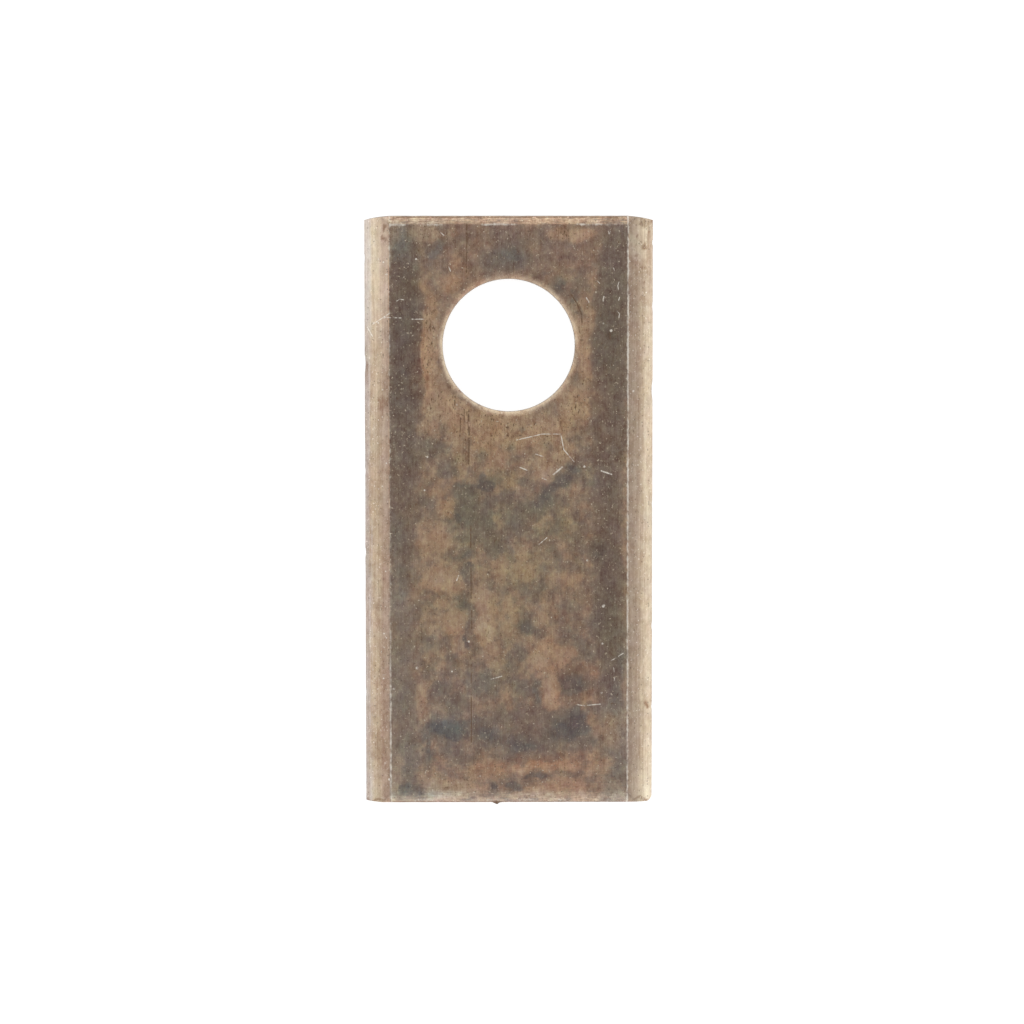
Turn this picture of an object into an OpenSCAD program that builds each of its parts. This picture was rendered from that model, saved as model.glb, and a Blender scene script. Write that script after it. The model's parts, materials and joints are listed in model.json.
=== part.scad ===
// Rotary mower blade: a flat knife that swings on its mower's pivot pin by one punched hole.
// The steel bar is rolled with a rounded bevel along both long sides, sheared to length and punched.
// Sizes are in millimetres. The origin is the centre of the pivot hole on the flat underside,
// with +Y towards the near end, which is the one by the hole, and +Z up through the bevelled face.

/* [Bar] */
// Width of the bar across both cutting edges
bar_width = 48; // [40:0.5:60]
// Thickness of the bar
bar_thickness = 4; // [3:0.1:6]
// Length of the blade from end to end
blade_length = 98; // [80:0.5:140]

/* [Bevels] */
// Width of each bevel, seen from above
bevel_width = 4.3; // [2:0.1:8]
// Height of the blunt land along each cutting edge
edge_land = 0.6; // [0.3:0.1:1.2]
// Roundness of a bevel, from nearly flat to a curve that meets the face with no crease
bevel_roundness = 0.45; // [0.05:0.05:0.9]

/* [Pivot hole] */
// Diameter of the hole
hole_diameter = 22; // [16:0.5:26]
// Distance from the near end to the centre of the hole
hole_inset = 21.5; // [17:0.5:30]
// Width of the rim that the punch draws down
hole_roll_width = 1; // [0.3:0.1:1.5]
// Depth of that rim
hole_roll_depth = 0.5; // [0.2:0.1:1]
// Roundness of that rim, from nearly flat to one that meets the face with no crease
hole_roll_roundness = 0.65; // [0.1:0.05:0.9]

/* [Sheared ends] */
// Width of the edge that the shear rolls over at the near end
near_roll_width = 1.4; // [0.4:0.1:2]
// Depth of the rolled edge at the near end
near_roll_depth = 0.8; // [0.2:0.1:1.2]
// Roundness of the rolled edge at the near end
near_roll_roundness = 0.3; // [0.1:0.05:0.9]
// Width of the edge that the shear rolls over at the far end
far_roll_width = 2.2; // [0.4:0.1:3]
// Depth of the rolled edge at the far end
far_roll_depth = 0.8; // [0.2:0.1:1.2]
// Roundness of the rolled edge at the far end
far_roll_roundness = 0.85; // [0.1:0.05:0.9]
// How far each sheared face leans out, from its rolled edge down to the underside
shear_lean = 0.25; // [0.05:0.05:0.6]

/* [Corners] */
// Reach of the fall-away at both near corners, along the end
near_corner_reach = 4.4; // [1:0.1:8]
// How far both near corners fall back, along the blade
near_corner_fall = 0.7; // [0.2:0.1:2]
// Reach of the fall-away at the far left corner, along the end
far_corner_reach = 3.4; // [1:0.1:8]
// How far the far left corner falls back, along the blade
far_corner_fall = 0.2; // [0.1:0.1:2]
// Size of the worn round on the far right corner
worn_corner = 0.9; // [0.3:0.1:2]
// Roundness of every corner, from a straight chamfer to a full round
corner_roundness = 0.7; // [0.1:0.05:0.9]

/* [Hidden] */
$fn = 128;

// Room by which a cutting shape runs past what it cuts
cut_margin = 2;

half_width = bar_width / 2;
hole_radius = hole_diameter / 2;
near_end = hole_inset;
far_end = hole_inset - blade_length;

// Waste at a profile's corner, which lies at the origin with the material below and to its left.
// The cut runs from run before the corner to drop below it, on an arc that bulges towards the corner.
// Past both ends the arc goes on into the open, so that it crosses the profile's sides cleanly.
module corner_waste(run, drop, roundness) {
    chord = norm([run, drop]);
    slope = atan2(drop, run);
    half_angle = roundness * min(slope, 90 - slope);
    radius = chord / 2 / sin(half_angle);
    inward = [-drop, -run] / chord;
    overrun = min(run, drop) / 4;
    difference() {
        translate([-run - overrun, -drop - overrun])
            square([run, drop] + [1, 1] * (overrun + cut_margin));
        translate([-run, -drop] / 2 + inward * radius * cos(half_angle)) circle(radius);
    }
}

// Cross-section of the rolled bar, with X across it and Y up
module bar_section() {
    difference() {
        translate([-half_width, 0]) square([bar_width, bar_thickness]);
        for (side = [0, 1])
            mirror([side, 0])
                translate([half_width, bar_thickness])
                    corner_waste(bevel_width, bar_thickness - edge_land, bevel_roundness);
    }
}

// The rolled bar before it is sheared, longer than the blade at both ends
module rolled_bar() {
    translate([0, near_end + cut_margin / 2, 0])
        rotate([90, 0, 0])
            linear_extrude(blade_length + cut_margin) bar_section();
}

// Side view of the waste beyond one sheared end, which is at the origin on the underside.
// The face leans out as it goes down, and its top edge is rolled over.
module end_waste_profile(roll_width, roll_depth, roll_roundness) {
    lean_slope = shear_lean / (bar_thickness - roll_depth);
    polygon([
        [lean_slope * cut_margin, -cut_margin],
        [-lean_slope * (bar_thickness + cut_margin), bar_thickness + cut_margin],
        [cut_margin, bar_thickness + cut_margin],
        [cut_margin, -cut_margin]
    ]);
    translate([-shear_lean, bar_thickness]) corner_waste(roll_width, roll_depth, roll_roundness);
}

// Waste beyond the end at the origin, wider than the bar on both sides
module end_waste(roll_width, roll_depth, roll_roundness) {
    rotate([90, 0, 90])
        linear_extrude(bar_width + cut_margin, center = true)
            end_waste_profile(roll_width, roll_depth, roll_roundness);
}

// Plan of what the shear and wear take off the four corners
module corner_losses() {
    for (side = [0, 1])
        mirror([side, 0])
            translate([half_width, near_end])
                corner_waste(near_corner_reach, near_corner_fall, corner_roundness);
    translate([-half_width, far_end])
        rotate(180) corner_waste(far_corner_reach, far_corner_fall, corner_roundness);
    translate([half_width, far_end])
        mirror([0, 1]) corner_waste(worn_corner, worn_corner, corner_roundness);
}

// The punched hole, with its rim drawn down on the bevelled face
module pivot_hole() {
    translate([0, 0, -cut_margin])
        cylinder(h = bar_thickness + 2 * cut_margin, r = hole_radius);
    rotate_extrude()
        translate([hole_radius, bar_thickness])
            mirror([1, 0]) corner_waste(hole_roll_width, hole_roll_depth, hole_roll_roundness);
}

// The whole blade, which is one piece of steel
module blade() {
    color([0.44, 0.37, 0.30])
        difference() {
            rolled_bar();
            translate([0, near_end, 0])
                end_waste(near_roll_width, near_roll_depth, near_roll_roundness);
            translate([0, far_end, 0])
                mirror([0, 1, 0])
                    end_waste(far_roll_width, far_roll_depth, far_roll_roundness);
            translate([0, 0, -cut_margin])
                linear_extrude(bar_thickness + 2 * cut_margin) corner_losses();
            pivot_hole();
        }
}

blade();
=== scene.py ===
"""A used rotary mower blade, lying flat on a pale floor and seen from above.

The blade is one mesh in place of the plain solid. It keeps the solid's form and adds the nicks, the
burr and the rough sheared faces. Listed stains are stored on it, and its one material makes
the rest.
Sizes are in millimetres in the row's own frame, and become metres where Blender takes them.
"""

import functools
import json
import math

import bpy
import numpy as np
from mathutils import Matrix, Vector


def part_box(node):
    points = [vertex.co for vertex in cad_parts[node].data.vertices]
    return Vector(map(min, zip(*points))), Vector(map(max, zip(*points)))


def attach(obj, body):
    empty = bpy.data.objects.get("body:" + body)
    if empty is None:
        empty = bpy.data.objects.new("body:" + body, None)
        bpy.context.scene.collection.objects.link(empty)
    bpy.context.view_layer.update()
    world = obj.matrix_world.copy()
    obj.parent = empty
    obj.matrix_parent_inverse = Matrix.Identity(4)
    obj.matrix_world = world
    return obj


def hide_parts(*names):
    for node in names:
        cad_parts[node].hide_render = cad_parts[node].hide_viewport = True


MM = 0.001
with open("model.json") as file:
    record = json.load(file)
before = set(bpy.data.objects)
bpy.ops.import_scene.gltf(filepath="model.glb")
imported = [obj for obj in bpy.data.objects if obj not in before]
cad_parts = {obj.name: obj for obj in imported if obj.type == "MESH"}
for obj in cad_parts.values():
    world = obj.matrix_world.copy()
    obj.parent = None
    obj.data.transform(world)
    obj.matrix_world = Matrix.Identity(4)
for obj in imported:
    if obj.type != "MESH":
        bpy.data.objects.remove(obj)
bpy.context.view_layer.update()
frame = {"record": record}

# Sizes that the frame gives
blade_low, blade_high = [np.array(corner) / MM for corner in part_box("blade")]
pivot = next(mount for mount in frame["record"]["mounts"] if mount["name"] == "pivot_bore")
HALF_WIDTH = float(blade_high[0])
THICKNESS = float(blade_high[2])
NEAR_END = float(blade_high[1])
FAR_END = float(blade_low[1])
HOLE_RADIUS = pivot["dims"]["r_mm"]

# Each rolled edge or bevel: how far it runs, how deep it drops, and how round it is
EDGE_LAND = 0.6
BEVEL = (4.3, THICKNESS - EDGE_LAND, 0.45)
HOLE_ROLL = (1, THICKNESS - pivot["dims"]["length_mm"], 0.65)
NEAR_ROLL = (1.4, 0.8, 0.3)
FAR_ROLL = (2.2, 0.8, 0.85)
CREASE = HALF_WIDTH - BEVEL[0]

# Corners: how far the loss reaches along the end, how far it falls back, and how round it is
NEAR_CORNER = (4.4, 0.7, 0.7)
FAR_CORNER = (3.4, 0.2, 0.7)
WORN_CORNER = (0.9, 0.9, 0.7)
SHEAR_LEAN = 0.25

# Mesh lines: the cell on the open face, and the finer zones with their numbers of cells
CELL = 0.4
CREASE_ZONE = 0.3
CREASE_CELLS = 6
BEVEL_CELLS = 9
EDGE_ZONE = 1.2
EDGE_CELLS = 7
ROLL_MARGIN = 0.5
FAR_ROLL_CELLS = 11
NEAR_ROLL_CELLS = 10
# The square that rings fill round the hole, the fine zone at its rim, and the rows down the walls
BLOCK = 15.2
SPREAD_RINGS = 7
RIM_ZONE = 1.6
RIM_RINGS = 9
WALL_ROWS = 6
SHARP_ANGLE = 35

# Sheared walls: the smooth share of the height below the top edge, and the bumps on the torn rest
SMOOTH_SHARE = 0.25
TORN_SOFTNESS = 0.2
LOW_EDGE_SHARE = 0.1
BUMP_HEIGHT = 0.03
BUMP_SIZE = 0.8
BUMP_ROWS = 6

# Wear of the outline: ripples of the ends, waves of the cutting edges, and how far in both reach
END_RIPPLE = 0.03
END_REACH = 3
EDGE_WAVE = 0.03
EDGE_REACH = 1
# Nicks in the cutting edges: side, place along the blade, depth and half width
NICKS = (
    (-1, 14.5, 0.1, 0.8), (-1, -3, 0.16, 1.6), (-1, -21, 0.1, 0.7), (-1, -34.5, 0.12, 0.9),
    (-1, -58, 0.1, 0.8), (1, 17, 0.14, 0.6), (1, 6.5, 0.1, 0.9), (1, -7.5, 0.18, 1.8),
    (1, -26.5, 0.1, 0.6), (1, -47, 0.12, 0.8), (1, -60.5, 0.14, 0.5),
)
# Burr down the far end: its place across, its height, its half width and how far in it begins
BURR_PLACE = -2.1
BURR_HEIGHT = 0.4
BURR_WIDTH = 0.4
BURR_REACH = 0.6

# Stains on the flat of the bevelled face: centre x and y, half sizes across and along, and strength
TAN_STAINS = (
    (-13, -1, 1.5, 9, 1.05), (12.8, 1.5, 1.5, 8.5, 0.65), (0, -13.5, 11, 2.8, 0.65),
    (-11.5, -9.5, 2.5, 3, 0.8), (11, -9.5, 2.5, 3, 0.8), (-3, -17.5, 3.5, 3, 0.3),
    (4.5, -17.5, 4.5, 3, 0.25), (0, -21.5, 3, 2.2, 0.25), (6, -20.5, 2, 1.2, 0.7),
    (-8.2, -20, 0.9, 3, 0.6), (-6.8, -22.3, 1.2, 1, 0.7), (-10.5, -27, 1.6, 1.2, 0.75),
    (-1, -28, 1.5, 2, 0.45), (9.5, -28, 1.6, 1.2, 0.4), (-12, -32.5, 2.8, 1.9, 0.6),
    (-13.2, -33.3, 1, 0.9, 0.4), (2.5, -32.5, 1.8, 1.6, 0.45), (-11.5, -39, 2.6, 2.2, 0.85),
    (-1, -38, 3.5, 2, 0.3), (7, -38.5, 1, 2.2, 0.3), (-11, -43.2, 1.4, 1, 0.9),
    (-10.2, -46.5, 1.3, 1.8, 0.8), (-3.8, -42.8, 1.9, 2, 0.75), (-4, -46.8, 1.8, 2.4, 1.5),
    (-2.8, -51.5, 2, 2, 0.5), (0, -45.5, 1.3, 3, 0.6), (5.5, -45.3, 1.8, 1.4, 0.6),
    (5.3, -51.8, 2.1, 2.1, 1.4), (8.8, -51, 1.9, 1.6, 0.6), (7, -56.8, 1.6, 2.6, 1.35),
    (7.2, -60, 1.4, 1, 0.95), (0, -57.7, 1.2, 1.2, 0.6), (-14.3, -59.5, 0.8, 3.5, 0.65),
    (14, -63.5, 1.2, 2, 0.5), (-4, -70.8, 3.5, 1.8, 0.65), (6, -70.2, 7, 0.9, 0.8),
    (9, -73.5, 4.5, 1.3, 0.8), (-10, -73.8, 4, 1.8, 1.4), (-6, -74.2, 2, 0.8, 0.6),
    (10.3, 18.2, 4, 1.1, 0.8), (-8, 12.5, 1.6, 2, 0.2), (-9, -10.5, 2.2, 2.2, 1.1),
    (-9, -45.5, 1.2, 2.5, 0.8), (-9, -40, 1.5, 3.5, 0.45), (-5, -42, 1.5, 2, 0.6),
    (2.5, -37.5, 2, 2, 0.6), (5.8, -30.2, 2.2, 1.6, 0.9), (7, -22, 1, 1.2, 0.4),
    (-13, -34.5, 1.5, 2, 0.4), (4.5, -74.8, 5, 0.9, 1), (-18.4, -70.5, 1.4, 2.5, 0.5),
    (-14, 18.4, 3, 1.6, 0.5), (-8, -74.3, 2.5, 1.6, 1.2), (-15.5, 10, 1.5, 1.6, 0.5),
    (-9.5, 10, 1.5, 1.5, 0.6), (9, -17.5, 1.5, 2, 0.6), (-8.5, -15.5, 1.5, 2.5, 0.6),
    (6.5, -21.5, 1.5, 1.2, 0.6), (17, -64.5, 1.6, 3, 0.5), (17, -73.5, 2, 2, 0.5),
    (-11.5, -30.5, 1.8, 1.5, 0.5), (-13.5, -46, 1.5, 2, 0.4), (6.5, -42, 1.2, 1.5, 0.4),
    (6.5, -50, 2, 1.5, 0.7), (-11.8, -70, 1.5, 1.5, 0.4), (-13, -66, 1, 1, 0.7), (15, -70, 2, 2, 0.8),
    (3, -34, 1.6, 1.6, 0.6), (3, -54, 1, 1.6, 0.6), (-9.2, -25.8, 1, 1.2, 0.5), (-13.2, -14, 1.4, 2, 0.6),
    (1, -42.5, 1.2, 1.5, 0.5), (14, 14, 1.5, 2, 0.4), (-12.5, -51.5, 2, 2, 0.3), (-6, -58, 2, 2, 0.3),
    (19.4, -20, 1, 22, 0.4), (19.4, -58, 0.9, 5, 0.35), (-19.4, 17, 0.9, 4.5, 0.6),
    (-19.4, -73.5, 1, 3, 0.9), (-7, -18, 0.9, 1.5, 0.4), (-0.8, -50, 1, 1.3, 0.4),
    (-15.5, -54, 1, 1.5, 0.3),
)
RUST_STAINS = (
    (11, -54, 3.8, 1.6, 1.6), (12.6, -58.6, 2, 1, 1), (10, -45, 2.2, 1.8, 0.8), (13, -42, 1.2, 1.2, 0.9),
    (5, -69.6, 9, 1.5, 1.4), (4, -71, 5, 0.5, 0.6), (2, -63.5, 2, 1.5, 0.6), (-10.5, -27, 2, 1.5, 0.2),
    (-12.5, -31, 2, 1.5, 0.3), (0, -14.5, 11, 4.5, 0.5), (11, -38.5, 2, 3, 0.5),
    (-11.5, -40.5, 2.5, 1.5, 0.4), (-9.5, -48.5, 0.8, 1.5, 0.5), (-13, 7, 1.5, 2, 0.7),
    (13.2, -1, 1, 2.5, 0.6), (-8, 13, 3, 4, 0.5), (6, 14, 4, 3, 0.5), (0, 19, 10, 1.5, 0.4),
    (10, 16, 3, 3, 0.5), (-14, -60, 1, 3, 0.5), (-9, -10.5, 2.5, 2.5, 0.6), (6, -50, 2.5, 1.5, 0.9),
    (11, -70, 2, 1.5, 0.6), (-14.3, -3.5, 1.8, 5, 1.2), (-10, 10, 2, 2, 0.9), (8, -54, 2, 1.5, 0.8),
    (7, -42, 1.5, 1.5, 0.7), (-6, 15.5, 2.5, 3, 0.6), (16, -16, 2, 4, 0.6), (10, -74, 4, 1.5, 1.1),
    (12.5, -34, 4, 2, 0.5), (9, -55.5, 2, 4.5, 1.2), (-8, 18.5, 4, 1.5, 0.7), (15, -9, 2.5, 4, 0.7),
    (15, -32, 3.5, 5, 0.5),
)
BLUE_STAINS = (
    (-4.3, -21.8, 0.6, 1.2, 1.1), (-3.6, -23.2, 0.9, 0.9, 1.2), (-5, -23.5, 0.8, 0.5, 0.8),
    (-8.2, -23.2, 1.1, 0.8, 0.6), (-9, -28.9, 0.8, 0.9, 1.1), (-9.6, -21, 0.6, 1, 0.5),
    (10.7, -20.3, 0.8, 1, 1.1), (9, -22.3, 1.4, 1.2, 1.1), (7.3, -23.7, 1, 0.9, 1),
    (6, -25.1, 1.1, 0.9, 0.9), (4.6, -26.5, 1, 0.8, 0.65), (-6.8, -36.4, 0.6, 0.6, 0.9),
    (-7.5, -34.6, 2, 0.35, 0.6), (-7.3, -42.6, 1.1, 1, 0.7), (-7, -49, 0.7, 1.4, 1.05),
    (-6.9, -46.5, 0.5, 1.3, 0.6), (3.2, -46.8, 1.2, 0.9, 0.8), (10, -48.6, 1.4, 0.35, 0.6),
    (10.5, -56.2, 2.1, 2, 1), (12, -54.7, 0.9, 0.6, 0.7), (4.8, -57.8, 0.7, 1.6, 0.85),
    (11.3, -63.2, 1.4, 2.6, 1.25), (9, -64, 1.8, 1.9, 0.95), (11.6, -61, 0.8, 0.8, 0.9),
    (-11.6, -63.2, 1.9, 1.5, 0.95), (-9.2, -64.7, 2.3, 1.2, 1.25), (-8, -62.6, 2, 1, 0.5),
    (-13.8, -66.8, 0.45, 2, 0.85), (-3.8, -64.7, 1.5, 1.3, 0.95), (0, -65.5, 1.6, 1, 0.6),
    (-3.3, -67, 0.8, 0.8, 0.6), (2, -66.8, 2.1, 1.2, 1), (1, -64, 1, 0.6, 0.6),
    (5.2, -71.7, 2.4, 0.55, 1.2), (1.5, -73.3, 1.8, 0.8, 1), (-2.4, -73.2, 0.75, 0.9, 1.1),
    (-17, -73.2, 1, 0.8, 0.6), (-11.8, 15.3, 1.4, 1.2, 0.85), (-13.3, 15.8, 0.5, 0.8, 0.5),
    (0.5, 14.8, 2.2, 1.3, 0.55), (-15.3, -7, 0.5, 0.8, 0.9), (2.2, -14.3, 0.7, 0.6, 0.6),
    # The four stains below, in an arc beside the hole's rim at its upper right, are painted shade
    (6, 11.7, 1.7, 0.7, 0.6), (9, 10, 1.2, 1, 0.8), (10.9, 8.1, 0.9, 1.2, 0.8), (12, 5.6, 0.6, 1.4, 0.65),
)
GREY_STAINS = (
    (-12.3, -17.3, 1.8, 1.8, 0.7), (-11, -20.5, 1.3, 1.8, 0.6), (-7.1, -26.5, 2.1, 4, 1.1),
    (-7.5, -24.4, 1.7, 1.6, 1), (-4, -29.6, 1.9, 1.7, 1), (4, -27.6, 1.8, 1.4, 0.7),
    (-3.2, -26.2, 1, 1.2, 0.6), (1.5, -28.5, 1.5, 2, 0.5), (6.5, -25.3, 2, 1.4, 1.1),
    (8.8, -22.3, 2, 1.6, 1), (10.8, -20.4, 1.4, 1.5, 1.1), (7.2, -30.5, 2.2, 1.4, 0.5),
    (-6.5, -32, 1.8, 1.2, 0.6), (-3, -33, 2, 1.8, 0.65), (-7.5, -34.6, 2.6, 0.7, 0.5),
    (-7, -37.4, 1.3, 1.6, 0.8), (3.5, -41, 1.8, 2, 0.5), (-7.5, -42.6, 1.7, 1.6, 0.6),
    (3.2, -47, 1.7, 1.4, 0.85), (-13.3, -51, 1.7, 2.4, 0.25), (-10.2, -52, 1.2, 1.2, 0.7),
    (1.7, -52.5, 1.6, 3, 0.55), (-5, -56, 2.4, 2, 0.3), (-11, -57, 1.4, 1.2, 0.7),
    (1.7, -58, 1.8, 2.6, 0.7), (4.8, -57.8, 1, 2, 0.8), (-9, -59.5, 2.5, 1.5, 0.5),
    (10.5, -56.2, 2.3, 2.2, 0.9), (-10.8, -63.6, 2.8, 1.7, 0.95), (-3.5, -64.5, 2.4, 1.8, 0.85),
    (2, -66.5, 2.6, 1.6, 0.85), (6.5, -66, 2, 1.5, 0.6), (10.7, -63.5, 2.2, 2.6, 1.1),
    (-13.8, -66.8, 0.9, 2.4, 0.3), (-16.5, -67, 2, 4, 0.2), (0.5, 15.5, 3, 2.5, 0.5),
    (-12, 15.8, 1.6, 1.4, 0.7), (8.5, 9.9, 1.6, 1.2, 0.6), (9, -62.3, 2.5, 1.4, 1.2),
    (-0.5, 14, 4, 2, 0.8), (14.2, -34, 1.8, 1.8, 0.7), (-5, -18.5, 0.9, 1.5, 0.5),
    # The last stain below, at 12.5, 9.5 beside the hole's rim, is painted shade
    (-1, -25.5, 1.5, 1.3, 0.5), (13, -66, 1.2, 2, 0.5), (12.5, 9.5, 1.2, 2, 0.5),
    (13.5, -22, 1.5, 1.5, 0.5), (-4.5, -18, 1, 2, 0.5), (1, -18.5, 1, 1.5, 0.5),
    (-17, -74, 1.8, 1.2, 0.7), (-2.5, -22, 1.5, 1, 0.6), (2, -22.5, 1.8, 1, 0.6),
)
HAZE_STAINS = (
    (-9, -65, 5.5, 2.5, 0.8), (4, -64, 9.5, 3.8, 1), (0.5, -29.3, 9.5, 4.3, 0.7), (-5, -56, 9, 4, 0.4),
    (10, -46, 2.5, 2.5, 0.6), (-13, -50, 3, 6, 0.2), (12.5, -34, 2.5, 4, 0.45), (-14.5, -22, 2, 6, 0.5),
    (0, 16, 13, 4, 0.35), (13.5, -62, 2.5, 6, 0.3), (3.5, -41, 4, 3, 0.3), (12, -52, 2.5, 3, 0.75),
    (3, -23, 1.6, 1.5, 0.6), (-9, -66.5, 2, 1.5, 0.4), (-0.5, -62, 3, 1.5, 0.8), (8.5, -62, 2, 1.5, 0.6),
    (12, -54, 2, 2, 0.5), (-9, -69.5, 2.5, 2, 0.5), (12.5, -16, 2, 2.5, 0.45), (5, -38.5, 1.5, 1.5, 0.5),
)
COOL_STAINS = (
    (-5, -56, 3, 3, 0.6), (-10.5, -63, 3.8, 2.6, 1.3), (-13.9, -67, 1.2, 2.5, 0.8),
    (-18.7, -43, 1.5, 5, 0.9), (-17.8, -58, 2.8, 14, 0.8), (-13.3, -51, 2, 3, 0.3),
    (18, -71, 2.2, 6, 0.9), (9, -64.8, 2, 1.5, 0.5), (3, -67, 3, 1.5, 0.5), (-3.8, -64.7, 1.5, 1.3, 0.4),
    (-18.5, 17.5, 2.2, 3.5, 1.1), (0.5, 14.8, 2.5, 1.5, 1), (-18, -72, 2.5, 4, 1.2),
    (-15, 18.4, 5, 2, 0.7), (-13, -74, 3, 1.5, 0.8), (-18.9, -33, 1.3, 5, 0.7), (-9, -30, 1.5, 1.5, 0.5),
    (-6, -62, 2.5, 1.5, 0.7), (-11, -66.5, 2, 1.5, 0.7), (15, -66, 1.5, 2, 0.6), (18.3, -62, 1.8, 5, 1),
    (19, -53, 1, 3, 0.8), (-19, -51, 1.2, 3, 0.7),
)
OLIVE_STAINS = (
    (-0.5, -28.5, 3, 2, 1), (-7.8, -20, 1.5, 3, 1), (-7, -27, 2.5, 4.5, 0.9), (2, -37, 6, 3.5, 0.9),
    (8, -29, 4, 4, 0.8), (-5, -33, 5, 4, 0.6), (-9, -44, 3, 3, 0.5), (0, -45, 4, 4, 0.5),
    (7, -39.5, 1.5, 2.5, 0.9), (10, -33, 4, 5, 0.6), (-1, -56, 3, 4, 0.6), (17.5, -46, 2, 6, 0.8),
    (17.5, 4, 2.5, 10, 0.5), (-15.5, 14, 1.5, 5, 0.7), (0, -14, 12, 5, 0.4), (-2, -22, 4, 1.8, 0.9),
)
# Dark film along each crease: place along the blade, where the film begins across it, and its strength
LEFT_FILM = (
    (-77, 14.5, 0), (-70, 15, 0), (-62, 16.3, 0.15), (-50, 16.6, 0.15), (-42, 16.5, 0.05),
    (-35, 16.6, 0.75), (-24, 15.7, 0.75), (-14, 15.1, 0.9), (-8, 14.4, 1.1), (8, 14.6, 1.1),
    (14.5, 15.5, 0.75), (18, 15.5, 0.25), (21.5, 15.5, 0.1),
)
RIGHT_FILM = (
    (-77, 15, 0.1), (-70, 15, 0.2), (-62, 15.2, 0), (-56, 15.2, 0.7), (-50, 15, 0.86),
    (-42, 14.3, 0.9), (-36, 14.5, 1), (-30, 14.6, 0.75), (-20, 14.2, 0.7), (-10, 14, 0.7),
    (0, 13.9, 1), (14, 15.3, 0.75), (21.5, 16.5, 0.4),
)
# Pale places (above 0) and dark smudges (below 0) on the bevels, in the form of the stains; the dark ones
# along the far end's edge are painted shade
BEVEL_STAINS = (
    (-22.5, 16, 4, 13, 0.32), (-22.5, -74, 4, 4, 0.05), (22, -74, 2, 4, 0.28), (21.3, 18, 1.6, 3, 0.3),
    (23.6, 14, 0.8, 8, -0.15), (-23.8, -3, 0.5, 2.4, -0.5), (-23.6, -36, 0.6, 5, -0.2),
    (-21.4, -68, 1, 2.6, -0.3), (-20.2, 19.6, 0.3, 0.6, -0.6), (-20.3, 17.8, 0.25, 0.5, -0.5),
    (22.6, 20.4, 1.3, 0.5, -0.3), (23.7, 20.4, 0.4, 0.5, -0.7), (23.3, -60, 0.35, 0.5, -0.6),
    (20.6, 8, 0.7, 7, -0.12), (-20.2, -8, 0.4, 4, -0.2), (-20.6, -64, 0.6, 4, -0.15),
    (-22.2, -29, 2.5, 9, -0.1), (-20, -62, 0.35, 15, -0.22), (-21.6, -66, 0.8, 8, -0.1),
    (-20.8, -10.5, 0.3, 1.6, -0.35), (-21.2, -21.5, 0.5, 4.5, -0.15), (-21.3, -43.7, 0.35, 3, -0.25),
    # Below, the dark ones at y -76 and -76.1 are painted shade along the far end's edge
    (-21, -53.5, 0.35, 4.5, -0.25), (-21.7, -66.5, 0.25, 2.5, -0.35), (-22, -76, 2.2, 0.2, -0.5),
    (22.2, -76.1, 1.6, 0.2, -0.5), (22.2, 13, 0.6, 0.25, -0.4), (22.1, 7.4, 0.25, 0.25, -0.5),
    (21.2, 18.8, 1.2, 0.8, -0.15), (20.7, 7.5, 0.5, 3.5, -0.12), (-21.1, 10, 0.6, 11, 0.42),
    (-21.1, -42, 0.5, 18, -0.1), (-20.3, -18, 0.5, 18, 0.12), (21.1, -6, 0.6, 14, -0.1),
    (23.1, -60, 0.8, 12, 0.1), (21.6, 18, 0.25, 0.3, -0.5), (22.8, 16.4, 0.3, 0.25, -0.45),
    (21.3, 15.2, 0.2, 0.3, -0.4), (22.9, 12, 0.25, 0.3, -0.4), (21.9, 10, 0.2, 0.25, -0.4),
    (23.2, 18.6, 0.3, 0.3, -0.5),
)
# Kinds of stains: the stains, the seed of their ragged edges, and how soft the edges are
STAIN_KINDS = {
    "tan": (TAN_STAINS, 81, 0.65),
    "grey": (GREY_STAINS, 82, 0.7),
    "haze": (HAZE_STAINS, 87, 1.1),
    "rust": (RUST_STAINS, 84, 1.4),
    "olive": (OLIVE_STAINS, 85, 1.4),
    "cool": (COOL_STAINS, 89, 1.4),
    "blue": (BLUE_STAINS, 82, 1),
    "bevel": (BEVEL_STAINS, 71, 1.4),
}

# Scratches on the bevelled face: the width of the line, then its points
SCRATCHES = (
    (0.21, (1.2, -15.7), (5.5, -14.7), (8.6, -14.7), (9.1, -17.3), (10.8, -19.3)),
    (0.3, (15.3, -20.8), (17, -21.4)), (0.35, (7.4, -21.4), (8.8, -20.2)),
    (0.21, (4.4, -18), (5.6, -18.4)), (0.21, (1.8, -20.2), (3, -20.7)), (0.19, (5.5, -22), (6.2, -22.3)),
    (0.19, (5, -33), (6.3, -31.9)), (0.25, (-8.7, -39), (-8.4, -38.2)), (0.19, (17, -52.4), (17.8, -52)),
    (0.19, (18.2, -51.7), (19, -51.2)), (0.16, (17.4, -53.6), (17.5, -54.3)),
    (0.16, (17.6, -55.3), (17.5, -55.8)), (0.19, (11.5, -59.8), (12.6, -60)),
    (0.21, (13.1, -59.9), (15.2, -59.7)), (0.19, (-20.5, 4.6), (-17.8, 4.5)),
    (0.23, (-16, 4.3), (-14, 4.3)), (0.21, (-22.5, 3.5), (-19.8, 5.2)), (0.21, (-23.5, 3), (-22.6, 1.5)),
    (0.21, (-3, -55.5), (-1.2, -55)), (0.2, (-9.9, 12.9), (-9.6, 12.2)),
    (0.23, (-11.3, 18.6), (-10.7, 18.1)), (0.27, (15.7, 8), (15.6, 7.3)),
    (0.39, (16.5, 18.9), (16.6, 18.4)), (0.29, (12.8, 7.8), (13.2, 7.1)),
    (0.19, (-18.5, 7.3), (-18, 7.6), (-17.4, 7.5)), (0.17, (18.2, 10.4), (18, 9.8), (18.1, 9.2)),
    (0.17, (18.3, 7.9), (18.15, 7.4)), (0.18, (17.9, 5.6), (18.3, 5.2), (18.2, 4.6)),
    (0.16, (17.3, 12.7), (17.45, 12.3)), (0.16, (14.6, 10.6), (15, 10.2)),
)
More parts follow.
